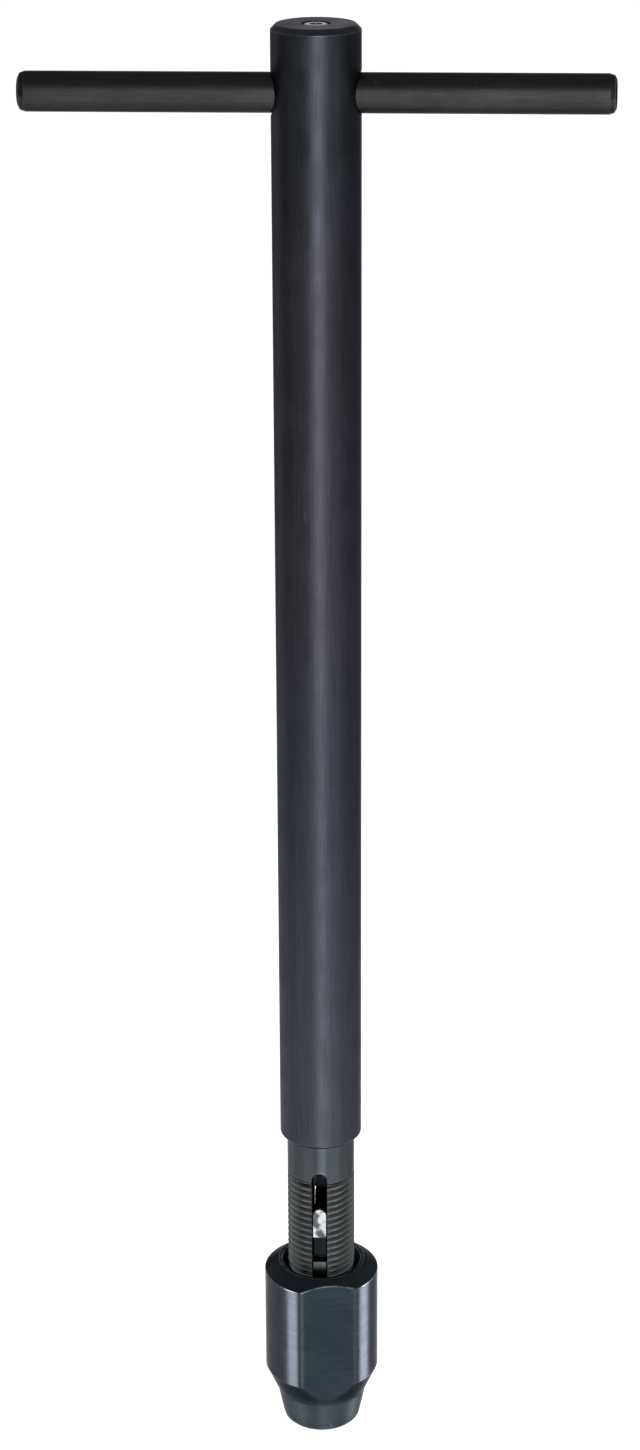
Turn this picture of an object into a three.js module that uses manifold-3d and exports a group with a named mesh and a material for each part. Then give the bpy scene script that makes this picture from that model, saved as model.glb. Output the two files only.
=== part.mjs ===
// A long T-handle tap wrench: a round shank with a sliding cross bar, and a two-jaw tap chuck
// at its lower end.
// Millimetres. +Z runs up the shank's axis, X runs along the cross bar, and the origin is the
// centre of the chuck's mouth.
import * as THREE from "three";
import { mergeVertices } from "three/addons/utils/BufferGeometryUtils.js";
import Module from "manifold-3d";

const wasm = await Module();
wasm.setup();

// Shank
const TOP_Z = 318;
const SHANK_R = 9;
const TOP_CHAMFER = 1.1;
const SHOULDER_Z = 73.6;
const SHOULDER_CHAMFER = 0.6;
const NECK_R = 7.5;
const NECK_END_Z = 26;
const NECK_CHAMFER = 0.8;
const NECK_BORE_R = 4.8;
const NECK_BORE_END_Z = 58;
const DRILL_POINT = 2.8;

// Slots for the jaws, milled into the neck from the front and the back
const SLOT_WIDTH = 3.4;
const SLOT_TOP_Z = 66.5;
const SLOT_FLOOR = 0.9;

// Cross bar
const BAR_Z = 304.5;
const BAR_R = 4;
const BAR_LENGTH = 118;
const BAR_CROWN = { face: 1.1, middle: { in: 0.35, back: 0.5 }, length: 1.4 };
const BAR_HOLE_R = 4.15;

// Detent: a ball, a spring and a set screw above the cross bar
const BALL_R = 2;
const BALL_GAP = 0.1;
const BALL_HOLE_R = 2.15;
const SCREW_R = 2.5;
const SCREW_HOLE_R = 2.65;
const SCREW_SEAT_Z = 314.6;
const SCREW_SINK = 0.1;
const SCREW_CHAMFER = 0.35;
const SCREW_SOCKET_AF = 2.5;
const SCREW_SOCKET_DEPTH = 1.5;
const DETENT_WIRE_R = 0.22;
const DETENT_COIL_R = 1.45;
const DETENT_TURNS = 2.5;

// Chuck nut
const NUT_R = 12.8;
const NUT_TOP_Z = 41.2;
const NUT_SHOULDER_Z = 38.8;
const NUT_TOP_FACE_R = 9.6;
const NUT_THREAD_R = 7.8;
const COUNTERSINK_R = 8.9;
const NUT_BODY_BOTTOM_Z = 14.1;
const TAPER_TOP = { r: 10.1, z: 8 };
const TAPER_BOTTOM = { r: 8.8, z: 1.8 };
const NOSE_FACE_R = 7;
const NOSE_ARC_STEPS = 3;
const NUT_FLAT_DISTANCE = 11.1;
const NUT_FLAT_ANGLE = 11;
const MOUTH_R = 5;
const MOUTH_CHAMFER = 0.3;
const CONE_BOTTOM_Z = 5;
const CONE_ANGLE = 18;

// Jaws
const JAW_WIDTH = 3;
const JAW_BACK = 7;
const JAW_GRIP = 3.2;
const JAW_TOP_Z = 57.4;
const JAW_BOTTOM_Z = 5.6;
const JAW_CONE_GAP = 0.3;
const RELIEF = { top: 50.2, bottom: 44, depth: 1.6, slope: 0.5 };
const GRIP_TOP_Z = 34;
const GRIP_DEPTH = 1.1;
const POCKET_R = 1.3;
const POCKET_DEPTH = 1.4;

// Jaw springs
const JAW_SPRING_Z = { jaw_spring_upper: 47.4, jaw_spring_lower: 38.4 };
const JAW_WIRE_R = 0.18;
const JAW_COIL_R = 0.8;
const JAW_SPRING_TURNS = 9;
const SPRING_END_GAP = 0.15;

// How finely each round is cut, in sides per full turn
const SIDES = {
  shank: 64,
  bore: 40,
  bar: 40,
  small: 24,
  ballRows: 16,
  nut: 72,
  pocket: 16,
  wireStep: 12,
};
const OVERCUT = 1;

const degrees = (angle) => (angle * Math.PI) / 180;
const conePitch = Math.tan(degrees(CONE_ANGLE));

const steel = (color, roughness, metalness = 0.9) =>
  new THREE.MeshStandardMaterial({ color, roughness, metalness });
const BLACK_OXIDE = steel(0x3a3d47, 0.42);
const BAR_STEEL = steel(0x3b3b3c, 0.45);
const NUT_STEEL = steel(0x4a5560, 0.36);
const BRIGHT_STEEL = steel(0xb9bcbe, 0.28, 1);
const SPRING_STEEL = steel(0x8d8f92, 0.35, 1);

// A closed geometry as a solid, and a solid as a geometry.
function solidOf(geometry) {
  const bare = geometry.index ? geometry.toNonIndexed() : geometry.clone();
  bare.deleteAttribute("normal");
  bare.deleteAttribute("uv");
  const merged = mergeVertices(bare, 1e-4);
  return new wasm.Manifold(
    new wasm.Mesh({
      numProp: 3,
      vertProperties: merged.attributes.position.array,
      triVerts: new Uint32Array(merged.index.array),
    }),
  );
}

function geometryOf(solid) {
  const { vertProperties, triVerts } = solid.getMesh();
  const geometry = new THREE.BufferGeometry();
  geometry.setAttribute("position", new THREE.BufferAttribute(vertProperties, 3));
  geometry.setIndex(new THREE.BufferAttribute(triVerts, 1));
  geometry.computeVertexNormals();
  return geometry;
}

const cut = (blank, ...tools) =>
  geometryOf(tools.reduce((left, tool) => left.subtract(solidOf(tool)), solidOf(blank)));

// A solid turned about Z from [radius, z] points that run up its outside.
function turned(points, segments) {
  const profile = points.map(([r, z]) => new THREE.Vector2(r, z));
  return new THREE.LatheGeometry(profile, segments).rotateX(Math.PI / 2);
}

// A round bar or drill of radius r from z0 to z1, along Z.
const roundBar = (r, z0, z1, segments) =>
  turned([[0, z0], [r, z0], [r, z1], [0, z1]], segments);

// A block between two corners.
function block(low, high) {
  const size = high.map((value, i) => value - low[i]);
  const centre = high.map((value, i) => (value + low[i]) / 2);
  return new THREE.BoxGeometry(...size).translate(...centre);
}

// A strip as wide as 2 * halfWidth with a round top end, in X and Z, that runs from y0 to y1.
function roundEndedStrip(halfWidth, bottomZ, topZ, y0, y1) {
  const shape = new THREE.Shape();
  shape.moveTo(-halfWidth, bottomZ);
  shape.lineTo(halfWidth, bottomZ);
  shape.absarc(0, topZ - halfWidth, halfWidth, 0, Math.PI, false);
  const settings = { depth: y1 - y0, bevelEnabled: false, curveSegments: 8 };
  return new THREE.ExtrudeGeometry(shape, settings).rotateX(Math.PI / 2).translate(0, y1, 0);
}

// A coil spring of round wire, centred on the origin, with its axis along Z.
class Helix extends THREE.Curve {
  constructor(radius, length, turns) {
    super();
    Object.assign(this, { radius, length, turns });
  }
  getPoint(t, target = new THREE.Vector3()) {
    const angle = 2 * Math.PI * this.turns * t;
    const z = this.length * (t - 0.5);
    return target.set(this.radius * Math.cos(angle), this.radius * Math.sin(angle), z);
  }
}

function coilSpring(coilR, wireR, length, turns) {
  const section = new THREE.Shape().absarc(0, 0, wireR, 0, 2 * Math.PI, false);
  return new THREE.ExtrudeGeometry(section, {
    steps: Math.ceil(turns * SIDES.wireStep),
    curveSegments: 3,
    bevelEnabled: false,
    extrudePath: new Helix(coilR, length - 2 * wireR, turns),
  });
}

function shank() {
  const blank = turned(
    [
      [0, NECK_END_Z],
      [NECK_R - NECK_CHAMFER, NECK_END_Z],
      [NECK_R, NECK_END_Z + NECK_CHAMFER],
      [NECK_R, SHOULDER_Z],
      [SHANK_R - SHOULDER_CHAMFER, SHOULDER_Z],
      [SHANK_R, SHOULDER_Z + SHOULDER_CHAMFER],
      [SHANK_R, TOP_Z - TOP_CHAMFER],
      [SHANK_R - TOP_CHAMFER, TOP_Z],
      [0, TOP_Z],
    ],
    SIDES.shank,
  );
  const neckBore = turned(
    [
      [0, NECK_END_Z - OVERCUT],
      [NECK_BORE_R, NECK_END_Z - OVERCUT],
      [NECK_BORE_R, NECK_BORE_END_Z],
      [0, NECK_BORE_END_Z + DRILL_POINT],
    ],
    SIDES.bore,
  );
  const slotBottom = NECK_END_Z - OVERCUT;
  const slot = () =>
    roundEndedStrip(SLOT_WIDTH / 2, slotBottom, SLOT_TOP_Z, SLOT_FLOOR, NECK_R + OVERCUT);
  const barHole = roundBar(BAR_HOLE_R, -SHANK_R - OVERCUT, SHANK_R + OVERCUT, SIDES.bore)
    .rotateY(Math.PI / 2)
    .translate(0, 0, BAR_Z);
  const ballHole = roundBar(BALL_HOLE_R, BAR_Z, SCREW_SEAT_Z + OVERCUT, SIDES.small);
  const screwHole = roundBar(SCREW_HOLE_R, SCREW_SEAT_Z, TOP_Z + OVERCUT, SIDES.small);
  return cut(blank, neckBore, slot(), slot().rotateZ(Math.PI), barHole, ballHole, screwHole);
}

function handleBar() {
  const half = BAR_LENGTH / 2;
  const end = [
    [BAR_R - BAR_CROWN.face, half],
    [BAR_R - BAR_CROWN.middle.in, half - BAR_CROWN.middle.back],
    [BAR_R, half - BAR_CROWN.length],
  ];
  const near = end.map(([r, z]) => [r, -z]);
  const profile = [[0, -half], ...near, ...end.reverse(), [0, half]];
  return turned(profile, SIDES.bar).rotateY(Math.PI / 2).translate(0, 0, BAR_Z);
}

const ballCentreZ = BAR_Z + BAR_R + BALL_GAP + BALL_R;

const detentBall = () =>
  new THREE.SphereGeometry(BALL_R, SIDES.small, SIDES.ballRows).translate(0, 0, ballCentreZ);

function detentSpring() {
  const bottom = ballCentreZ + BALL_R + SPRING_END_GAP;
  const top = SCREW_SEAT_Z;
  const spring = coilSpring(DETENT_COIL_R, DETENT_WIRE_R, top - bottom, DETENT_TURNS);
  return spring.translate(0, 0, (top + bottom) / 2);
}

function detentScrew() {
  const bottom = SCREW_SEAT_Z + SPRING_END_GAP;
  const top = TOP_Z - SCREW_SINK;
  const blank = turned(
    [
      [0, bottom],
      [SCREW_R - SCREW_CHAMFER, bottom],
      [SCREW_R, bottom + SCREW_CHAMFER],
      [SCREW_R, top - SCREW_CHAMFER],
      [SCREW_R - SCREW_CHAMFER, top],
      [0, top],
    ],
    SIDES.small,
  );
  const acrossCorners = SCREW_SOCKET_AF / Math.cos(Math.PI / 6);
  const socket = roundBar(acrossCorners / 2, top - SCREW_SOCKET_DEPTH, top + OVERCUT, 6);
  return cut(blank, socket);
}

// The nut's outline: up the outside from the mouth, then down the countersink, thread and cone.
function chuckNut() {
  const noseArc = [1, 2].map((step) => {
    const angle = (step / NOSE_ARC_STEPS) * (Math.PI / 2);
    const reach = TAPER_BOTTOM.r - NOSE_FACE_R;
    return [NOSE_FACE_R + reach * Math.sin(angle), TAPER_BOTTOM.z * (1 - Math.cos(angle))];
  });
  const coneTopZ = CONE_BOTTOM_Z + (NUT_THREAD_R - MOUTH_R) / conePitch;
  const outline = [
    [MOUTH_R + MOUTH_CHAMFER, 0],
    [NOSE_FACE_R, 0],
    ...noseArc,
    [TAPER_BOTTOM.r, TAPER_BOTTOM.z],
    [TAPER_TOP.r, TAPER_TOP.z],
    [NUT_R, NUT_BODY_BOTTOM_Z],
    [NUT_R, NUT_SHOULDER_Z],
    [NUT_TOP_FACE_R, NUT_TOP_Z],
    [COUNTERSINK_R, NUT_TOP_Z],
    [NUT_THREAD_R, NUT_TOP_Z - (COUNTERSINK_R - NUT_THREAD_R)],
    [NUT_THREAD_R, coneTopZ],
    [MOUTH_R, CONE_BOTTOM_Z],
    [MOUTH_R, MOUTH_CHAMFER],
    [MOUTH_R + MOUTH_CHAMFER, 0],
  ];
  const flats = [NUT_FLAT_ANGLE, NUT_FLAT_ANGLE + 180].map((angle) =>
    block([-NUT_R, -NUT_R - OVERCUT, 0], [NUT_R, -NUT_FLAT_DISTANCE, NUT_TOP_Z + OVERCUT]).rotateZ(
      degrees(angle),
    ),
  );
  return cut(turned(outline, SIDES.nut), ...flats);
}

// The jaw that slides at +Y. Its back is sloped to ride in the nut's cone, and its grip is a V.
function jaw() {
  const backAt = (z) =>
    MOUTH_R + (z - CONE_BOTTOM_Z) * conePitch - JAW_CONE_GAP / Math.cos(degrees(CONE_ANGLE));
  const slopeTopZ = CONE_BOTTOM_Z + (JAW_BACK - backAt(CONE_BOTTOM_Z)) / conePitch;
  const floor = JAW_BACK - RELIEF.depth;
  const side = new THREE.Shape(
    [
      [JAW_GRIP, JAW_BOTTOM_Z],
      [backAt(JAW_BOTTOM_Z), JAW_BOTTOM_Z],
      [JAW_BACK, slopeTopZ],
      [JAW_BACK, RELIEF.bottom],
      [floor, RELIEF.bottom + RELIEF.slope],
      [floor, RELIEF.top - RELIEF.slope],
      [JAW_BACK, RELIEF.top],
      [JAW_BACK, JAW_TOP_Z],
      [JAW_GRIP, JAW_TOP_Z],
    ].map(([y, z]) => new THREE.Vector2(y, z)),
  );
  const plate = new THREE.ExtrudeGeometry(side, { depth: JAW_WIDTH, bevelEnabled: false })
    .rotateX(Math.PI / 2)
    .rotateZ(Math.PI / 2)
    .translate(-JAW_WIDTH / 2, 0, 0);
  const frontOutline = roundEndedStrip(JAW_WIDTH / 2, 0, JAW_TOP_Z, 0, NUT_R);
  const grip = new THREE.Shape(
    [
      [-GRIP_DEPTH - OVERCUT, JAW_GRIP - OVERCUT],
      [GRIP_DEPTH + OVERCUT, JAW_GRIP - OVERCUT],
      [0, JAW_GRIP + GRIP_DEPTH],
    ].map(([x, y]) => new THREE.Vector2(x, y)),
  );
  const gripCut = new THREE.ExtrudeGeometry(grip, { depth: GRIP_TOP_Z, bevelEnabled: false });
  const pockets = Object.values(JAW_SPRING_Z).map((z) =>
    roundBar(POCKET_R, JAW_GRIP - OVERCUT, JAW_GRIP + POCKET_DEPTH, SIDES.pocket)
      .rotateX(-Math.PI / 2)
      .translate(0, 0, z),
  );
  return cut(geometryOf(solidOf(plate).intersect(solidOf(frontOutline))), gripCut, ...pockets);
}

// A spring between the pockets of the two jaws, along Y.
function jawSpring(z) {
  const length = 2 * (JAW_GRIP + POCKET_DEPTH - SPRING_END_GAP);
  const spring = coilSpring(JAW_COIL_R, JAW_WIRE_R, length, JAW_SPRING_TURNS);
  return spring.rotateX(-Math.PI / 2).translate(0, 0, z);
}

const group = new THREE.Group();

function add(name, geometry, material) {
  const mesh = new THREE.Mesh(geometry, material.clone());
  mesh.name = name;
  group.add(mesh);
  return mesh;
}

add("shank", shank(), BLACK_OXIDE);
add("handle_bar", handleBar(), BAR_STEEL);
add("detent_ball", detentBall(), BRIGHT_STEEL);
add("detent_spring", detentSpring(), SPRING_STEEL);
add("detent_screw", detentScrew(), BRIGHT_STEEL);
add("chuck_nut", chuckNut(), NUT_STEEL);
add("jaw_rear", jaw(), BRIGHT_STEEL);
add("jaw_front", jaw(), BRIGHT_STEEL).rotation.z = Math.PI;
for (const [name, z] of Object.entries(JAW_SPRING_Z)) {
  add(name, jawSpring(z), SPRING_STEEL);
}

export default group;
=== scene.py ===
"""The looks of a long T-handle tap wrench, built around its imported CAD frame. Lengths are in metres."""

import math

import bmesh
import bpy
import numpy as np
from mathutils import Matrix, Vector


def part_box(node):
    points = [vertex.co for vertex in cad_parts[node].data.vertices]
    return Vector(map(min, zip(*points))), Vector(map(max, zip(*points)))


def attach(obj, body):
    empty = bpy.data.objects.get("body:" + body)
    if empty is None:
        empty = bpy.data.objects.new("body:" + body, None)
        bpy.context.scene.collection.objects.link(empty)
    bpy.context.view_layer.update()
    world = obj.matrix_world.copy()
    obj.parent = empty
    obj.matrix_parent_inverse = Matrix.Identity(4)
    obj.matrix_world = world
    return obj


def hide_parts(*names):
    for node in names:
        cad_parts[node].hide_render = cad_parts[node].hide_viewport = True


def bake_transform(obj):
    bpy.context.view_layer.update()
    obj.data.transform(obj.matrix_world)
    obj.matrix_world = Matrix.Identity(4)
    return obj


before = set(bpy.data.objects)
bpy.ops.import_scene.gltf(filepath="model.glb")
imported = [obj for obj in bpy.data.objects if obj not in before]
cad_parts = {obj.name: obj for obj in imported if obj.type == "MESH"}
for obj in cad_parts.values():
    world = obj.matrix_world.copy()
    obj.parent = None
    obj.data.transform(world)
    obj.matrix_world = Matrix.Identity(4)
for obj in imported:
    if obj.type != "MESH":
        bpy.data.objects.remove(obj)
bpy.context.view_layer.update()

MM = 0.001
TAU = 2 * math.pi

# Places that come from the frame
SHANK_LOW, SHANK_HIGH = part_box("shank")
BAR_LOW, BAR_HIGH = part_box("handle_bar")
BALL_LOW, BALL_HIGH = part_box("detent_ball")
NUT_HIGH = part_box("chuck_nut")[1]
SCREW_LOW_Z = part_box("detent_screw")[0].z
NECK_END_Z = SHANK_LOW.z
TOP_Z = SHANK_HIGH.z
SHANK_R = SHANK_HIGH.x
BAR_R = (BAR_HIGH.z - BAR_LOW.z) / 2
BAR_Z = (BAR_HIGH.z + BAR_LOW.z) / 2
BALL_R = (BALL_HIGH.z - BALL_LOW.z) / 2
BALL_Z = (BALL_HIGH.z + BALL_LOW.z) / 2
NUT_R = NUT_HIGH.x
NUT_TOP_Z = NUT_HIGH.z

# Shank
TOP_CHAMFER = 1.1 * MM
SHOULDER_Z = 73.6 * MM
SHOULDER_CHAMFER = 0.6 * MM
NECK_R = 7.5 * MM
NECK_CHAMFER = 0.8 * MM
NECK_BORE_R = 4.8 * MM
NECK_BORE_END_Z = 58 * MM
DRILL_POINT = 2.8 * MM
SHANK_SIDES = 160

# Thread on the neck
THREAD_TOP_Z = 64.6 * MM
THREAD_PITCH = 1.5 * MM
THREAD_DEPTH = 0.8 * MM
THREAD_ROWS = 12  # rows of points in one pitch
GROOVE_FLOOR = 1.25  # over 1, so that the groove has a flat floor
GROOVE_SLOPE = 2.9

# Slots for the jaws
SLOT_HALF = 1.7 * MM
SLOT_TOP_Z = 66.5 * MM
SLOT_FLOOR = 0.9 * MM
SLOT_FLARE = 0.24 * MM
SLOT_FLARE_DEPTH = 0.38 * MM

# Holes in the shank's upper end
BAR_HOLE_R = 4.15 * MM
BAR_HOLE_FLARE = 0.70 * MM
BAR_HOLE_FLARE_DEPTH = 1.3 * MM
BALL_HOLE_R = 2.15 * MM
SCREW_HOLE_R = 2.65 * MM
SCREW_HOLE_FLARE = 0.6 * MM
SCREW_GAP = 0.15 * MM

# Cutters
PAST = 1 * MM  # how far a cutter stands out of what it cuts
CUTTER_SIDES = 64

# Crown on each end of the cross bar, as a step in and a step back
CROWN_FACE = (1.15 * MM, 0.0)
CROWN_MIDDLE = (0.35 * MM, 0.4 * MM)
CROWN_START = (0.0, 1.5 * MM)

# Chuck nut, from the mouth up its outside and down its inside
MOUTH_R = 5.0 * MM
MOUTH_CHAMFER = 0.3 * MM
NOSE_FACE_R = 7.0 * MM
NOSE_ROUND = [(7.9 * MM, 0.24 * MM), (8.56 * MM, 0.9 * MM)]  # two points of an arc of 1.8 mm
TAPER_LOW = (8.8 * MM, 1.8 * MM)
TAPER_HIGH = (10.1 * MM, 8.0 * MM)
NUT_BODY_LOW_Z = 14.1 * MM
NUT_SHOULDER_Z = 38.8 * MM
NUT_TOP_FACE_R = 9.6 * MM
COUNTERSINK_R = 8.9 * MM
COUNTERSINK_Z = 40.1 * MM
NUT_THREAD_R = 7.8 * MM
CONE_HIGH_Z = 13.617 * MM  # where the cone, 18 degrees from the axis, meets the thread's bore
CONE_LOW_Z = 5.0 * MM
FLAT_DISTANCE = 11.1 * MM
FLAT_ANGLE = math.radians(11)
FLAT_EDGE = 0.12 * MM  # how softly a flat meets the round

# Springs, each as the coil's radius, the wire's radius and the number of turns
DETENT_COIL = (1.45 * MM, 0.22 * MM, 2.5)
JAW_COIL = (0.8 * MM, 0.18 * MM, 9)
COIL_STEPS = 28  # rings of points for each turn of the whole coil, however much of it a piece covers
WIRE_SIDES = 12

# Bevels on the pieces that are refined from the CAD
JAW_BEVEL = 0.14 * MM
SCREW_BEVEL = 0.08 * MM

# Wear on outward edges, by how sharply the surface bends, in radians per metre
WEAR_START = 700.0
WEAR_FULL = 3500.0

CREASE_ANGLE = math.radians(40)


# ---------------------------------------------------------------- mesh helpers


def mesh_object(name, verts, faces):
    mesh = bpy.data.meshes.new(name)
    mesh.from_pydata([tuple(v) for v in verts], [], faces)
    mesh.validate()
    mesh.update()
    mesh.shade_smooth()
    obj = bpy.data.objects.new(name, mesh)
    bpy.context.scene.collection.objects.link(obj)
    return obj


def skin(name, rings, closed=False):
    """A surface over rings of points. An open one gets a flat cap at each end, a closed one joins up."""
    count = len(rings[0])
    verts = np.concatenate([np.asarray(ring, float) for ring in rings])
    pairs = len(rings) if closed else len(rings) - 1
    faces = []
    for i in range(pairs):
        a, b = i * count, (i + 1) % len(rings) * count
        for j in range(count):
            k = (j + 1) % count
            faces.append((a + j, a + k, b + k, b + j))
    if not closed:
        faces.append(tuple(range(count - 1, -1, -1)))
        faces.append(tuple(range((len(rings) - 1) * count, len(rings) * count)))
    obj = mesh_object(name, verts, faces)
    if not closed:
        for cap in obj.data.polygons[-2:]:
            cap.use_smooth = False
    return obj


def filleted(points, radius, steps=4):
    """An (r, z) outline with each inner corner rounded, and a held point at each side of the round."""
    out = [points[0]]
    for before, corner, after in zip(points, points[1:], points[2:]):
        p = np.array(corner, float)
        back = np.array(before, float) - p
        ahead = np.array(after, float) - p
        longest = min(np.linalg.norm(back), np.linalg.norm(ahead))
        back /= np.linalg.norm(back)
        ahead /= np.linalg.norm(ahead)
        half = math.acos(max(-1.0, min(1.0, float(back @ ahead)))) / 2
        nearly_straight = half > math.radians(88)
        if nearly_straight:
            out.append(tuple(p))
            continue
        reach = min(radius / math.tan(half), 0.4 * longest)
        held = min(1.25 * reach, 0.45 * longest)
        out.append(tuple(p + back * held))
        for i in range(steps + 1):
            t = i / steps
            a = p + back * reach * (1 - t)
            b = p + ahead * reach * t
            out.append(tuple(a * (1 - t) + b * t))
        out.append(tuple(p + ahead * held))
    out.append(points[-1])
    return out


def stepped(points, step):
    """An outline with its long slopes cut into short steps, so that a flat can cross them smoothly."""
    out = [points[0]]
    for a, b in zip(points, points[1:]):
        length = math.dist(a, b)
        slopes = min(abs(b[0] - a[0]), abs(b[1] - a[1])) > 0.1 * length
        count = math.ceil(length / step) if slopes else 1
        for i in range(1, count + 1):
            t = i / count
            out.append((a[0] + (b[0] - a[0]) * t, a[1] + (b[1] - a[1]) * t))
    return out


def turned(name, outline, segments, radius_at=None, closed=False):
    """A solid turned about Z from an (r, z) outline. radius_at(angles, r, z) may shape each ring."""
    angles = np.arange(segments) * TAU / segments
    rings = []
    for r, z in outline:
        radii = np.full(segments, r) if radius_at is None else radius_at(angles, r, z)
        ring = np.stack([radii * np.cos(angles), radii * np.sin(angles), np.full(segments, z)], 1)
        rings.append(ring)
    return skin(name, rings, closed)


def fixed(obj):
    """Turns an object's faces outwards."""
    bm = bmesh.new()
    bm.from_mesh(obj.data)
    bmesh.ops.recalc_face_normals(bm, faces=bm.faces)
    bm.to_mesh(obj.data)
    bm.free()
    return obj


def evaluated(obj):
    """Applies the object's modifiers to its mesh."""
    graph = bpy.context.evaluated_depsgraph_get()
    mesh = bpy.data.meshes.new_from_object(obj.evaluated_get(graph))
    obj.modifiers.clear()
    obj.data = mesh
    return obj


def cut(obj, *tools):
    """Cuts the tools out of obj and removes them."""
    for tool in tools:
        modifier = obj.modifiers.new("cut", "BOOLEAN")
        modifier.operation = "DIFFERENCE"
        modifier.solver = "EXACT"
        modifier.object = tool
        evaluated(obj)
        bpy.data.objects.remove(tool)
    return obj


def creased(obj):
    """Smooth shading, with a crease at each sharp edge."""
    mesh = obj.data
    mesh.shade_smooth()
    bm = bmesh.new()
    bm.from_mesh(mesh)
    for edge in bm.edges:
        if len(edge.link_faces) == 2 and edge.calc_face_angle(0) > CREASE_ANGLE:
            edge.smooth = False
    bm.to_mesh(mesh)
    bm.free()
    return obj


def refined(node, bevel):
    """A copy of a CAD node with its flat faces made whole and its edges rounded."""
    same_point = 0.002 * MM
    same_plane = math.radians(1)
    real_edge = math.radians(28)
    bm = bmesh.new()
    bm.from_mesh(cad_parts[node].data)
    bmesh.ops.remove_doubles(bm, verts=bm.verts, dist=same_point)
    bmesh.ops.dissolve_limit(bm, angle_limit=same_plane, verts=bm.verts, edges=bm.edges)
    sharp = [e for e in bm.edges if len(e.link_faces) == 2 and e.calc_face_angle(0) > real_edge]
    bmesh.ops.bevel(
        bm, geom=sharp, offset=bevel, segments=3, profile=0.5, affect="EDGES", clamp_overlap=True
    )
    bmesh.ops.recalc_face_normals(bm, faces=bm.faces)
    mesh = bpy.data.meshes.new(node + "_fine")
    bm.to_mesh(mesh)
    bm.free()
    mesh.shade_smooth()
    obj = bpy.data.objects.new(node + "_fine", mesh)
    bpy.context.scene.collection.objects.link(obj)
    weighted = obj.modifiers.new("normals", "WEIGHTED_NORMAL")
    weighted.keep_sharp = True
    return evaluated(obj)


def store(obj, name, values):
    """Stores a value for each point of the surface, which a material can read by its name."""
    layer = obj.data.attributes.new(name, "FLOAT", "POINT")
    layer.data.foreach_set("value", values)


def mark_wear(obj):
    """Stores how sharply each point of the surface bends outwards, as the share of wear from 0 to 1."""
    shortest = 0.05 * MM
    bm = bmesh.new()
    bm.from_mesh(obj.data)
    worn = []
    for vert in bm.verts:
        bend = 0.0
        for edge in vert.link_edges:
            if len(edge.link_faces) == 2:
                a, b = (face.calc_center_median() for face in edge.link_faces)
                middle = (edge.verts[0].co + edge.verts[1].co) / 2
                apart = (a - middle).length + (b - middle).length
                bend = max(bend, edge.calc_face_angle_signed(0.0) / max(apart, shortest))
        worn.append(min(1.0, max(0.0, (bend - WEAR_START) / (WEAR_FULL - WEAR_START))))
    bm.free()
    store(obj, "wear", worn)


def place(obj, material, body, slot, *nodes):
    """Gives a finished piece its material and body, and hides the CAD nodes that it stands for. slot is not
    used.
    """
    obj.data.materials.clear()
    obj.data.materials.append(material)
    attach(obj, body)
    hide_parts(*nodes)
    return obj


# ---------------------------------------------------------------- materials


class Nodes:
    """A short way to write a shader's node tree."""

    def __init__(self, tree):
        self.tree = tree
        tree.nodes.clear()

    def add(self, kind, inputs=None, **settings):
        node = self.tree.nodes.new(kind)
        for key, value in settings.items():
            setattr(node, key, value)
        for key, value in (inputs or {}).items():
            self.feed(node.inputs[key], value)
        return node

    def feed(self, socket, value):
        if isinstance(value, bpy.types.NodeSocket):
            self.tree.links.new(value, socket)
        else:
            socket.default_value = value

    def math(self, operation, a, b=0.0, c=0.0):
        return self.add("ShaderNodeMath", {0: a, 1: b, 2: c}, operation=operation).outputs[0]

    def mix(self, factor, a, b):
        node = self.add("ShaderNodeMix", data_type="RGBA")
        self.feed(node.inputs[0], factor)
        self.feed(node.inputs[6], a)
        self.feed(node.inputs[7], b)
        return node.outputs[2]

    def ramp(self, value, low, high, to_low=0.0, to_high=1.0):
        """Goes smoothly from to_low to to_high while the value goes from low to high."""
        node = self.add(
            "ShaderNodeMapRange",
            {0: value, 1: low, 2: high, 3: to_low, 4: to_high},
            interpolation_type="SMOOTHSTEP",
        )
        return node.outputs[0]

    def noise(self, vector, scale, detail, roughness):
        inputs = {"Vector": vector, "Scale": scale, "Detail": detail, "Roughness": roughness}
        return self.add("ShaderNodeTexNoise", inputs).outputs["Fac"]

    def stretched(self, vector, scale):
        node = self.add("ShaderNodeMapping", {"Vector": vector, "Scale": scale}, vector_type="POINT")
        return node.outputs[0]


def rgb(*channels):
    return (*channels, 1.0)


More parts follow.
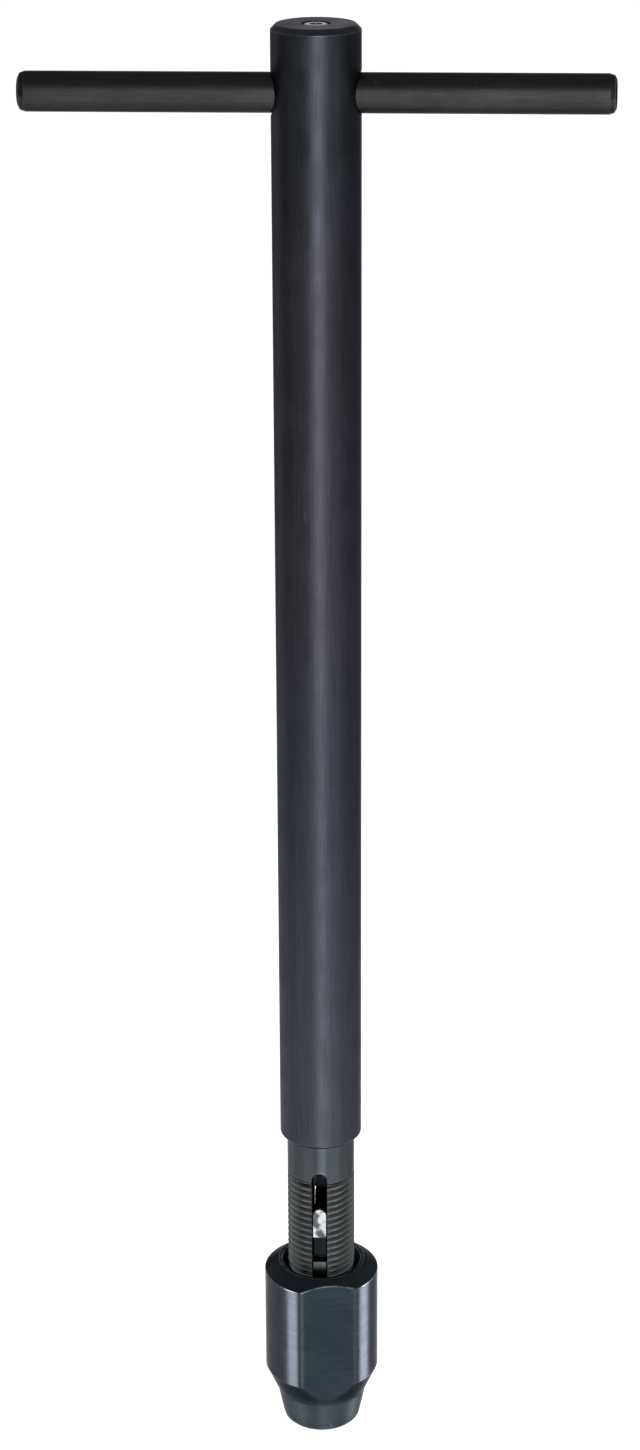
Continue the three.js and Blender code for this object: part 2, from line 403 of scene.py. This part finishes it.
def steel(name, base, tint, bare, roughness, grain, wear, scratches, bump=0.25, rim=0.5, zones=None):
    """Oxidised or ground steel: mottled colour, fine tool marks, rubbed edges and a few thin scratches.

    base and tint are the two mottled colours, and bare is the metal under them. grain stretches the tool
    marks. zones(nodes, where, colour, rough) may change the colour and roughness of some places.
    """
    material = bpy.data.materials.new(name)
    material.use_nodes = True
    n = Nodes(material.node_tree)
    where = n.add("ShaderNodeTexCoord").outputs["Object"]

    cloud = n.noise(where, 45.0, 4.0, 0.6)
    fine_cloud = n.noise(where, 700.0, 3.0, 0.6)
    blotch = n.math("ADD", n.math("MULTIPLY", cloud, 0.75), n.math("MULTIPLY", fine_cloud, 0.25))
    colour = n.mix(n.ramp(blotch, 0.36, 0.66), base, tint)
    smudge = n.noise(where, 130.0, 3.0, 0.6)
    rough = n.math("ADD", roughness - 0.05, n.math("MULTIPLY", n.ramp(smudge, 0.3, 0.7), 0.10))
    if zones:
        colour, rough = zones(n, where, colour, rough)

    marks = n.noise(n.stretched(where, grain), 3800.0, 2.0, 0.5)
    broad_marks = n.noise(n.stretched(where, grain), 700.0, 2.0, 0.5)
    shade = n.ramp(n.math("ADD", marks, n.math("MULTIPLY", broad_marks, 0.5)), 0.55, 0.95, 0.90, 1.10)
    colour = n.add("ShaderNodeVectorMath", {0: colour, 1: shade}, operation="MULTIPLY").outputs[0]

    edge = n.add("ShaderNodeAttribute", attribute_name="wear").outputs["Fac"]
    patchy = n.ramp(n.noise(where, 420.0, 4.0, 0.65), 0.30, 0.60)
    rubbed = n.math("MULTIPLY", n.math("MULTIPLY", edge, patchy), wear)
    scratch_lines = n.noise(n.stretched(where, (0.9, 0.5, 0.06)), 1500.0, 1.0, 0.4)
    sparse = n.ramp(n.noise(where, 55.0, 2.0, 0.5), 0.50, 0.70)
    scratch = n.math("MULTIPLY", n.math("MULTIPLY", n.ramp(scratch_lines, 0.70, 0.76), sparse), scratches)
    rubbed = n.math("MAXIMUM", rubbed, scratch)
    colour = n.mix(rubbed, colour, bare)
    rough = n.math("SUBTRACT", rough, n.math("MULTIPLY", rubbed, 0.08))

    height = n.math("ADD", marks, n.math("MULTIPLY", broad_marks, 0.6))
    relief = n.add("ShaderNodeBump", {"Strength": bump, "Distance": 0.006 * MM, "Height": height})
    shader = n.add(
        "ShaderNodeBsdfPrincipled",
        {
            "Base Color": colour,
            "Metallic": 1.0,
            "Roughness": rough,
            "Specular Tint": rgb(rim, rim, rim),
            "Normal": relief.outputs[0],
        },
    )
    output = n.add("ShaderNodeOutputMaterial")
    n.tree.links.new(shader.outputs[0], output.inputs[0])
    return material


# Directions of the tool marks
ALONG_Z = (1, 1, 0.03)
AROUND_Z = (0.02, 0.02, 1)
ALONG_X = (0.03, 1, 1)
ALL_WAYS = (1, 1, 1)

# Colours of single places
PURPLE_OXIDE = rgb(0.064, 0.057, 0.076)
# Lower body: the blue is the oxide's own tone, the extra lightness a painted reflection of the floor
BLUE_OXIDE_AND_PAINTED_REFLECTION = rgb(0.062, 0.068, 0.082)
NECK_OXIDE = rgb(0.058, 0.066, 0.075)
THREAD_GREY = rgb(0.200, 0.214, 0.214)
# The nut's round lands: partly polish, partly a painted sheen for their highlights
LAND_OXIDE_AND_SHEEN = rgb(0.042, 0.047, 0.056)
# The nut's nose, a paler tone than the rest of the nut
NOSE_PALE_TONE = rgb(0.050, 0.062, 0.072)
# The jaws' bright top pad: partly rubbed wear, partly a painted highlight
PAD_WEAR_AND_PAINTED_HIGHLIGHT = rgb(0.50, 0.52, 0.54)
# Painted shade for the recesses in the neck's bore and slots and for the jaws' inner parts
PAINTED_SHADE_INSIDE = rgb(0.010, 0.012, 0.014)


def height_of(n, where):
    return n.add("ShaderNodeSeparateXYZ", {0: where}).outputs["Z"]


def from_axis(n, where):
    """The distance of a point from the shank's axis."""
    flat = n.add("ShaderNodeVectorMath", {0: where, 1: (1, 1, 0)}, operation="MULTIPLY").outputs[0]
    return n.add("ShaderNodeVectorMath", {0: flat}, operation="LENGTH").outputs["Value"]


def shank_zones(n, where, colour, rough):
    """The oxide is purple in the upper half and bluer and lighter below: the blue is the oxide's own tone,
    the lightness a painted reflection of the floor. The neck's thread is coloured a lighter grey, and its
    bore and slots get painted shade.
    """
    z = height_of(n, where)
    purple = n.math("MULTIPLY", n.ramp(z, 160 * MM, 220 * MM), n.ramp(z, 300 * MM, 250 * MM))
    colour = n.mix(n.math("MULTIPLY", purple, 0.6), colour, PURPLE_OXIDE)
    # Lighter and bluer towards the bottom: partly oxide tone, partly a painted reflection of the floor
    lower = n.ramp(z, 170 * MM, 80 * MM)
    colour = n.mix(n.math("MULTIPLY", lower, 0.8), colour, BLUE_OXIDE_AND_PAINTED_REFLECTION)
    neck = n.ramp(z, SHOULDER_Z + 0.2 * MM, SHOULDER_Z - 1.0 * MM)
    colour = n.mix(neck, colour, NECK_OXIDE)
    thread = n.ramp(z, THREAD_TOP_Z, THREAD_TOP_Z - 2 * MM)
    colour = n.mix(thread, colour, THREAD_GREY)
    plain = n.math("SUBTRACT", neck, thread)
    rough = n.math("SUBTRACT", rough, n.math("MULTIPLY", plain, 0.22))
    # Painted shade inside the neck's bore and slots, where little light reaches
    inside = n.math("MULTIPLY", n.ramp(from_axis(n, where), 6.5 * MM, 6.0 * MM), neck)
    return n.mix(inside, colour, PAINTED_SHADE_INSIDE), rough


def nut_zones(n, where, colour, rough):
    """The nut's round lands are lighter than its flats, which stay dark: partly polish from hands and
    spanners, partly a painted sheen for the highlights that the lands catch. The nose is coloured a paler
    tone.
    """
    # The lands' share: partly polish, partly a painted sheen for their highlights
    polish_and_sheen = n.add("ShaderNodeAttribute", attribute_name="polish_and_sheen").outputs["Fac"]
    colour = n.mix(polish_and_sheen, colour, LAND_OXIDE_AND_SHEEN)
    # Paler towards the nose
    nose = n.ramp(height_of(n, where), 10.5 * MM, 7.5 * MM)
    colour = n.mix(nose, colour, NOSE_PALE_TONE)
    rough = n.math("SUBTRACT", rough, n.math("MULTIPLY", polish_and_sheen, 0.12))
    return colour, rough


def jaw_zones(n, where, colour, rough):
    """Each jaw's inner part, nearer the axis, gets painted shade. Its top pad is brighter: partly rubbed
    where it slides in its slot, partly a painted highlight.
    """
    outer = n.ramp(from_axis(n, where), 6.0 * MM, 6.6 * MM)
    # Painted shade on the parts of the jaw within 6 mm of the axis
    colour = n.mix(outer, PAINTED_SHADE_INSIDE, colour)
    # The top pad, in spots: partly rubbed wear, partly a painted highlight
    pad = n.math("MULTIPLY", n.ramp(height_of(n, where), 49.8 * MM, 50.6 * MM), outer)
    spots = n.ramp(n.noise(where, 520.0, 2.0, 0.5), 0.36, 0.60)
    colour = n.mix(n.math("MULTIPLY", pad, spots), colour, PAD_WEAR_AND_PAINTED_HIGHLIGHT)
    return colour, rough


OXIDE = steel(
    "black_oxide", rgb(0.050, 0.056, 0.070), rgb(0.060, 0.064, 0.082), rgb(0.26, 0.26, 0.27), 0.36, ALONG_Z,
    wear=0.5, scratches=0.2, zones=shank_zones,
)
BAR_FINISH = steel(
    "drawn_bar", rgb(0.036, 0.036, 0.036), rgb(0.048, 0.048, 0.048), rgb(0.30, 0.30, 0.30), 0.36, ALONG_X,
    wear=0.7, scratches=0.25,
)
NUT_FINISH = steel(
    "nut_oxide", rgb(0.018, 0.026, 0.034), rgb(0.026, 0.034, 0.042), rgb(0.42, 0.43, 0.44), 0.36, AROUND_Z,
    wear=0.6, scratches=0.2, zones=nut_zones,
)
JAW_FINISH = steel(
    "jaw_steel", rgb(0.060, 0.066, 0.074), rgb(0.080, 0.086, 0.094), rgb(0.5, 0.5, 0.5), 0.30, ALONG_Z,
    wear=0.3, scratches=0.2, zones=jaw_zones,
)
BRIGHT = steel(
    "ground_steel", rgb(0.42, 0.43, 0.44), rgb(0.34, 0.35, 0.36), rgb(0.62, 0.62, 0.62), 0.28, ALONG_Z,
    wear=0.3, scratches=0.2, rim=0.9,
)
WIRE = steel(
    "spring_wire", rgb(0.24, 0.25, 0.26), rgb(0.18, 0.19, 0.20), rgb(0.5, 0.5, 0.5), 0.32, ALL_WAYS,
    wear=0.2, scratches=0.0, bump=0.1, rim=0.9,
)


# ---------------------------------------------------------------- pieces


def slot_tool(side):
    """A cutter for one jaw slot, with a round top end and a small flare that breaks the neck's edge."""
    steps = 16
    centre_z = SLOT_TOP_Z - SLOT_HALF
    bottom_z = NECK_END_Z - PAST
    levels = [
        # distance from the axis, half width
        (SLOT_FLOOR, SLOT_HALF),
        (NECK_R - SLOT_FLARE_DEPTH, SLOT_HALF),
        (NECK_R + 0.02 * MM, SLOT_HALF + SLOT_FLARE),
        (NECK_R + PAST, SLOT_HALF + SLOT_FLARE),
    ]
    rings = []
    for y, half in levels:
        ring = [(-half, side * y, bottom_z), (half, side * y, bottom_z)]
        for i in range(steps + 1):
            angle = math.pi * i / steps
            ring.append((half * math.cos(angle), side * y, centre_z + half * math.sin(angle)))
        rings.append(ring if side > 0 else ring[::-1])
    return fixed(skin("tool", rings))


def thread_radius(angles, r, z):
    """The neck's right-hand thread, which runs out below the slot's top end."""
    unthreaded = r < NECK_R - 0.01 * MM or z > SHOULDER_Z - 1 * MM
    if unthreaded:
        return np.full(len(angles), r)
    phase = (z / THREAD_PITCH - angles / TAU) % 1.0
    groove = np.clip(GROOVE_FLOOR - np.abs(phase - 0.5) * GROOVE_SLOPE, 0, 1)
    runout = np.clip((THREAD_TOP_Z - z) / THREAD_PITCH, 0, 1)
    return r - THREAD_DEPTH * groove * runout


def shank_outline():
    """The shank's outside from the neck's lower end to the top face."""
    ring_width = 2 * MM
    lower = [
        (NECK_R - ring_width, NECK_END_Z),
        (NECK_R - NECK_CHAMFER, NECK_END_Z),
        (NECK_R, NECK_END_Z + NECK_CHAMFER),
        (NECK_R, NECK_END_Z + ring_width),
    ]
    rows = np.arange(NECK_END_Z + ring_width, THREAD_TOP_Z + THREAD_PITCH, THREAD_PITCH / THREAD_ROWS)
    threaded = [(NECK_R, float(z)) for z in rows]
    upper = [
        (NECK_R, THREAD_TOP_Z + 2 * THREAD_PITCH),
        (NECK_R, SHOULDER_Z),
        (SHANK_R - SHOULDER_CHAMFER, SHOULDER_Z),
        (SHANK_R, SHOULDER_Z + SHOULDER_CHAMFER),
        (SHANK_R, TOP_Z - TOP_CHAMFER),
        (SHANK_R - TOP_CHAMFER, TOP_Z),
        (SHANK_R - TOP_CHAMFER - ring_width, TOP_Z),
    ]
    return filleted(lower, 0.15 * MM) + threaded + filleted(upper, 0.25 * MM)


def bar_hole_tool():
    """A cutter for the cross bar's hole, with both of its ends flared."""
    reach = SHANK_R + PAST
    plain = SHANK_R - BAR_HOLE_FLARE_DEPTH
    outline = [
        (BAR_HOLE_R + BAR_HOLE_FLARE, -reach),
        (BAR_HOLE_R, -plain),
        (BAR_HOLE_R, plain),
        (BAR_HOLE_R + BAR_HOLE_FLARE, reach),
    ]
    tool = turned("tool", outline, 96)
    tool.data.transform(Matrix.Translation((0, 0, BAR_Z)) @ Matrix.Rotation(math.pi / 2, 4, "Y"))
    return tool


def screw_hole_tool():
    """A cutter for the screw's hole, with a countersunk mouth."""
    outline = [
        (SCREW_HOLE_R, SCREW_LOW_Z - SCREW_GAP),
        (SCREW_HOLE_R, TOP_Z - 0.35 * MM),
        (SCREW_HOLE_R + SCREW_HOLE_FLARE, TOP_Z + 0.25 * MM),
        (SCREW_HOLE_R + SCREW_HOLE_FLARE, TOP_Z + PAST),
    ]
    return turned("tool", outline, CUTTER_SIDES)


def make_shank():
    """The turned bar with its threaded, slotted and bored neck and the holes in its upper end."""
    shank = turned("shank_fine", shank_outline(), SHANK_SIDES, thread_radius)
    drill_tip_r = 0.05 * MM
    bore_outline = [
        (NECK_BORE_R, NECK_END_Z - PAST),
        (NECK_BORE_R, NECK_BORE_END_Z),
        (drill_tip_r, NECK_BORE_END_Z + DRILL_POINT),
    ]
    bore = turned("tool", bore_outline, CUTTER_SIDES)
    bar_hole = bar_hole_tool()
    in_screw_hole_z = TOP_Z - 1 * MM
    ball_hole = turned("tool", [(BALL_HOLE_R, BAR_Z), (BALL_HOLE_R, in_screw_hole_z)], CUTTER_SIDES)
    screw_hole = screw_hole_tool()
    cut(shank, bore, slot_tool(-1), slot_tool(1), bar_hole, ball_hole, screw_hole)
    creased(shank)
    mark_wear(shank)
    return place(shank, OXIDE, "shank", "black_oxide_steel", "shank")


def make_handle_bar():
    """The plain cross bar with its crowned ends."""
    half = (BAR_HIGH.x - BAR_LOW.x) / 2
    face_middle_r = 0.6 * MM
    plain = 20 * MM
    crown = [(BAR_R - step_in, half - back) for step_in, back in (CROWN_FACE, CROWN_MIDDLE, CROWN_START)]
    near = [(r, -z) for r, z in crown]
    outline = [
        (face_middle_r, -half), *near, (BAR_R, -plain), (BAR_R, plain), *crown[::-1], (face_middle_r, half),
    ]
    bar = turned("handle_bar_fine", filleted(outline, 0.4 * MM, 5), 128)
    centre_x = (BAR_HIGH.x + BAR_LOW.x) / 2
    bar.data.transform(Matrix.Translation((centre_x, 0, BAR_Z)) @ Matrix.Rotation(math.pi / 2, 4, "Y"))
    mark_wear(bar)
    return place(bar, BAR_FINISH, "handle_bar", "bar_steel", "handle_bar")


def flatted_radius(angles, r, z):
    """The nut's round with two flats opposite each other. The soft edge is a smooth minimum of the two."""
    facing_limit = 0.3
    radii = np.full(len(angles), r)
    if r < FLAT_DISTANCE - 1 * MM:
        return radii
    for side in (0, math.pi):
        facing = np.cos(angles + math.pi / 2 - FLAT_ANGLE + side)
        wall = FLAT_DISTANCE / np.maximum(facing, facing_limit)
        gap = np.clip((radii - wall) / FLAT_EDGE, -20, 20)
        radii = radii - FLAT_EDGE * np.log1p(np.exp(gap)) * (facing > facing_limit)
    return radii


def make_chuck_nut():
    """The sleeve nut: a tapered nose, a round body with two flats, and a bore that ends in a cone."""
    points = [
        (MOUTH_R + MOUTH_CHAMFER, 0.0),
        (NOSE_FACE_R, 0.0),
        *NOSE_ROUND,
        TAPER_LOW,
        TAPER_HIGH,
        (NUT_R, NUT_BODY_LOW_Z),
        (NUT_R, NUT_SHOULDER_Z),
        (NUT_TOP_FACE_R, NUT_TOP_Z),
        (COUNTERSINK_R, NUT_TOP_Z),
        (NUT_THREAD_R, COUNTERSINK_Z),
        (NUT_THREAD_R, CONE_HIGH_Z),
        (MOUTH_R, CONE_LOW_Z),
        (MOUTH_R, MOUTH_CHAMFER),
    ]
    # The outline is a closed loop, so its end points need each other as neighbours for the fillets.
    looped = filleted([points[-1], *points, points[0]], 0.22 * MM)[1:-1]
    ring = stepped(looped, 0.3 * MM)
    nut = turned("chuck_nut_fine", ring, 360, flatted_radius, closed=True)
    fixed(nut)
    creased(nut)
    mark_wear(nut)
    # The lands' share, for their polish and for the painted sheen that stands for their highlights
    land_start = NUT_R - 0.45 * MM
    land_width = 0.3 * MM
    polish_and_sheen_values = []
    for vert in nut.data.vertices:
        r = math.hypot(vert.co.x, vert.co.y)
        polish_and_sheen_values.append(min(1.0, max(0.0, (r - land_start) / land_width)))
    store(nut, "polish_and_sheen", polish_and_sheen_values)
    return place(nut, NUT_FINISH, "chuck_nut", "nut_steel", "chuck_nut")


def wire_coil(name, centre, axis_turn, length, sizes, part=(0.0, 1.0)):
    """A coil of round wire, built along Z. part is the share of its length that the piece covers."""
    coil_r, wire_r, turns = sizes
    steps = int(turns * COIL_STEPS)
    along = length - 2 * wire_r
    points = []
    for i in range(steps + 1):
        t = part[0] + (part[1] - part[0]) * i / steps
        angle = TAU * turns * t
        points.append(Vector((coil_r * math.cos(angle), coil_r * math.sin(angle), along * (t - 0.5))))
    section = np.arange(WIRE_SIDES) * TAU / WIRE_SIDES
    rings = []
    for i, p in enumerate(points):
        ahead = points[min(i + 1, steps)] - points[max(i - 1, 0)]
        ahead.normalize()
        out = Vector((p.x, p.y, 0)).normalized()
        side = ahead.cross(out).normalized()
        rings.append([p + wire_r * (math.cos(a) * out + math.sin(a) * side) for a in section])
    coil = fixed(skin(name, rings))
    coil.data.transform(Matrix.Translation(centre) @ axis_turn)
    coil.data.materials.append(WIRE)
    return coil


def make_springs():
    """The detent's spring, and two jaw springs, each built in a front and a rear half."""
    upright = Matrix.Identity(4)
    along_y = Matrix.Rotation(-math.pi / 2, 4, "X")
    low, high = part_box("detent_spring")
    centre = (0, 0, (low.z + high.z) / 2)
    spring = wire_coil("detent_spring_fine", centre, upright, high.z - low.z, DETENT_COIL)
    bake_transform(spring)
    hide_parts("detent_spring")
    for node in ("jaw_spring_upper", "jaw_spring_lower"):
        low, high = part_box(node)
        centre = (0, 0, (low.z + high.z) / 2)
        length = high.y - low.y
        for side, body, part in (("front", "jaw_front", (0.0, 0.5)), ("rear", "jaw_rear", (0.5, 1.0))):
            coil = wire_coil(f"{node}_{side}", centre, along_y, length, JAW_COIL, part)
            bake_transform(coil)
            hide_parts(node)


def make_small_parts():
    """The jaws and the screw, refined from the CAD, and the ball."""
    for node in ("jaw_front", "jaw_rear"):
        place(refined(node, JAW_BEVEL), JAW_FINISH, node, "bright_steel", node)
    screw = refined("detent_screw", SCREW_BEVEL)
    place(screw, BRIGHT, "shank", "bright_steel", "detent_screw")
    steps = 32
    outline = []
    for i in range(1, steps):
        angle = math.pi * i / steps
        outline.append((BALL_R * math.sin(angle), -BALL_R * math.cos(angle)))
    ball = turned("detent_ball_fine", outline, 48)
    ball.data.transform(Matrix.Translation((0, 0, BALL_Z)))
    place(ball, BRIGHT, "detent_ball", "bright_steel", "detent_ball")


# ---------------------------------------------------------------- stage, light and camera

# The camera, from a pinhole fit to the photo's outline
CAMERA_AZIMUTH = math.radians(3)
CAMERA_ELEVATION = math.radians(21.42)
CAMERA_ROLL = math.radians(-0.25)
CAMERA_DISTANCE = 0.67037
CAMERA_LENS = 78.47
CAMERA_AIM = Vector((0, 0, 0.17088))
CAMERA_ASIDE = 0.22 * MM

# The stage and the lights
WHITE = 1.06  # a little over 1, so that the background comes out plain white
FLOOR_R = 3.0
FLOOR_Z = -0.05 * MM
FLOOR_GLOW = 0.82
DOME_R = 2.9
KEY_PLACE = (0.5, -0.4, 0.9)
KEY_WATTS = 3
STRIP_REACH = 0.30
STRIP_Z = -0.06
STRIP_WIDTH = 0.12
STRIP_HEIGHT = 0.45


def make_camera():
    """The camera at the photo's viewing angle, aimed at the middle of the shank."""
    data = bpy.data.cameras.new("camera")
    data.lens = CAMERA_LENS
    data.sensor_width = 36
    data.clip_start = 0.01
    data.clip_end = 50
    back = Vector(
        (
            math.sin(CAMERA_AZIMUTH) * math.cos(CAMERA_ELEVATION),
            -math.cos(CAMERA_AZIMUTH) * math.cos(CAMERA_ELEVATION),
            math.sin(CAMERA_ELEVATION),
        )
    )
    level = Vector((math.cos(CAMERA_AZIMUTH), math.sin(CAMERA_AZIMUTH), 0))
    up = back.cross(level)
    right = level * math.cos(CAMERA_ROLL) + up * math.sin(CAMERA_ROLL)
    up = back.cross(right)
    camera = bpy.data.objects.new("camera", data)
    bpy.context.scene.collection.objects.link(camera)
    camera.matrix_world = Matrix((right, up, back)).transposed().to_4x4()
    camera.matrix_world.translation = CAMERA_AIM + back * CAMERA_DISTANCE + right * CAMERA_ASIDE
    bpy.context.scene.camera = camera


def emitter(name, strength):
    """A material that glows plain white."""
    material = bpy.data.materials.new(name)
    material.use_nodes = True
    n = Nodes(material.node_tree)
    glow = n.add("ShaderNodeEmission", {"Color": rgb(1, 1, 1), "Strength": strength})
    output = n.add("ShaderNodeOutputMaterial")
    n.tree.links.new(glow.outputs[0], output.inputs[0])
    return material


def make_stage():
    """A pale floor that fades into a plain white dome. The metal doesn't mirror either of them."""
    floor = turned("floor", [(FLOOR_R, -2 * MM), (FLOOR_R, FLOOR_Z)], 96)
    material = bpy.data.materials.new("pale_floor")
    material.use_nodes = True
    n = Nodes(material.node_tree)
    where = n.add("ShaderNodeTexCoord").outputs["Object"]
    distance = n.add("ShaderNodeVectorMath", {0: where}, operation="LENGTH").outputs["Value"]
    far = n.ramp(distance, 0.12, 0.6)
    paper = n.add("ShaderNodeBsdfDiffuse", {"Color": rgb(0.82, 0.82, 0.82), "Roughness": 1.0})
    near_glow = n.add("ShaderNodeEmission", {"Color": rgb(1, 1, 1), "Strength": FLOOR_GLOW})
    near = n.add("ShaderNodeAddShader", {0: paper.outputs[0], 1: near_glow.outputs[0]})
    dome_glow = n.add("ShaderNodeEmission", {"Color": rgb(1, 1, 1), "Strength": WHITE})
    both = n.add("ShaderNodeMixShader", {0: far, 1: near.outputs[0], 2: dome_glow.outputs[0]})
    output = n.add("ShaderNodeOutputMaterial")
    n.tree.links.new(both.outputs[0], output.inputs[0])
    floor.data.materials.append(material)
    rise = np.linspace(-0.05, 1.5, 24)
    dome = turned("dome", [(DOME_R * math.cos(a), DOME_R * math.sin(a)) for a in rise], 64)
    dome.data.materials.append(emitter("dome_white", WHITE))
    for obj in (floor, dome):
        obj.visible_glossy = False
        obj.visible_shadow = False
    dome.visible_diffuse = False


def make_world():
    """Soft light all round: an upright softbox in front and weaker ones elsewhere, pale paper below.

    Heights here are those of a direction, from -1 straight down to 1 straight up.
    """
    world = bpy.data.worlds.new("studio")
    bpy.context.scene.world = world
    world.use_nodes = True
    n = Nodes(world.node_tree)
    towards = n.add("ShaderNodeTexCoord").outputs["Generated"]
    axes = n.add("ShaderNodeSeparateXYZ", {0: towards}).outputs
    azimuth = n.math("ARCTAN2", axes["X"], n.math("MULTIPLY", axes["Y"], -1.0))
    height = axes["Z"]
    total = n.ramp(height, -0.50, -0.30, 1.0, 0.10)
    nadir = n.ramp(height, -0.9, -0.6, 0.5, 1.0)
    above = n.ramp(height, 0.0, 0.35, 1.0, 3.0)
    total = n.math("MULTIPLY", n.math("MULTIPLY", total, nadir), above)
    softboxes = [
        # azimuth, half width and edge in degrees, brightness, share of it low down
        (6, 6, 14, 2.7, 0.42),
        (38, 12, 34, 0.32, 1.6),
        (-40, 8, 30, 0.06, 4.0),
        (99, 8, 12, 0.06, 1.0),
        (180, 10, 24, 0.6, 0.6),
        (-125, 8, 22, 0.45, 1.2),
        (138, 8, 22, 0.22, 0.5),
    ]
    for degrees, half, edge, brightness, low_share in softboxes:
        turn = n.math("SUBTRACT", azimuth, math.radians(degrees))
        turn = n.math("WRAP", turn, math.pi, -math.pi)
        aside = n.math("ABSOLUTE", turn)
        across = n.ramp(aside, math.radians(half), math.radians(half + edge), 1.0, 0.0)
        fade = n.ramp(height, 0.2, 0.7, 1.0, 0.0)
        fade = n.math("MULTIPLY", fade, n.ramp(height, -0.42, -0.30, low_share, 1.0))
        box = n.math("MULTIPLY", n.math("MULTIPLY", across, fade), brightness)
        total = n.math("ADD", total, box)
    sky = n.add("ShaderNodeBackground", {"Color": rgb(1, 1, 1), "Strength": total})
    output = n.add("ShaderNodeOutputWorld")
    n.tree.links.new(sky.outputs[0], output.inputs[0])


def area_light(name, place_at, aim, width, height, watts):
    data = bpy.data.lights.new(name, "AREA")
    data.shape = "RECTANGLE"
    data.size = width
    data.size_y = height
    data.energy = watts
    light = bpy.data.objects.new(name, data)
    bpy.context.scene.collection.objects.link(light)
    light.location = place_at
    light.rotation_euler = (Vector(aim) - light.location).to_track_quat("-Z", "Y").to_euler()
    light.visible_camera = False
    return light


def make_lights(nut):
    """A soft key light for the floor's shadow, and two upright strips that only the nut mirrors."""
    key = area_light("key", KEY_PLACE, (0, 0, 0.1), 0.5, 0.5, KEY_WATTS)
    key.visible_glossy = False
    mirrors = bpy.data.collections.new("mirrors_the_strips")
    mirrors.objects.link(nut)
    for name, degrees, watts in (("left_strip", -58, 1.15), ("right_strip", 99, 1.7)):
        turn = math.radians(degrees)
        spot = (STRIP_REACH * math.sin(turn), -STRIP_REACH * math.cos(turn), STRIP_Z)
        strip = area_light(name, spot, (0, 0, STRIP_Z), STRIP_WIDTH, STRIP_HEIGHT, watts)
        strip.light_linking.receiver_collection = mirrors


bpy.context.scene.view_settings.view_transform = "Standard"
make_camera()
make_shank()
make_handle_bar()
nut = make_chuck_nut()
make_small_parts()
make_springs()
make_stage()
make_world()
make_lights(nut)
